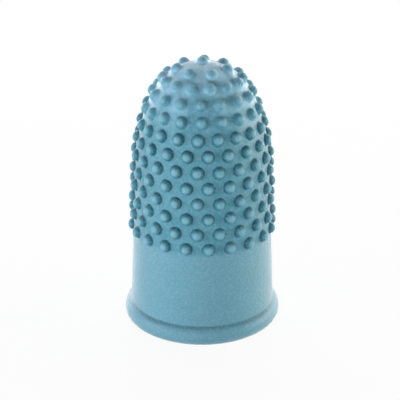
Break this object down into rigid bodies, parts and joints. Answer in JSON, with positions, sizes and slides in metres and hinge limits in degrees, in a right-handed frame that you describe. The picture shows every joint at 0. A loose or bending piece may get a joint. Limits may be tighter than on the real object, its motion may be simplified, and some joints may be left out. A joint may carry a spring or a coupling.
{
  "type": "rubber finger tip",
  "caption": "Moulded rubber finger tip: an open thimble with a round bead at its mouth, a plain lower band and a domed upper part covered in round grip nubs.",
  "frame": {"origin": "centre of the open mouth, on the plane that the rim stands on", "axes": "+Z from the mouth towards the closed crown; -Y is the front, the side that the picture shows"},
  "size_m": [0.021, 0.021, 0.0364],
  "materials": {
    "rubber": "matte"
  },
  "bodies": {
    "root": {"finger_tip": "rubber"}
  },
  "joints": []
}
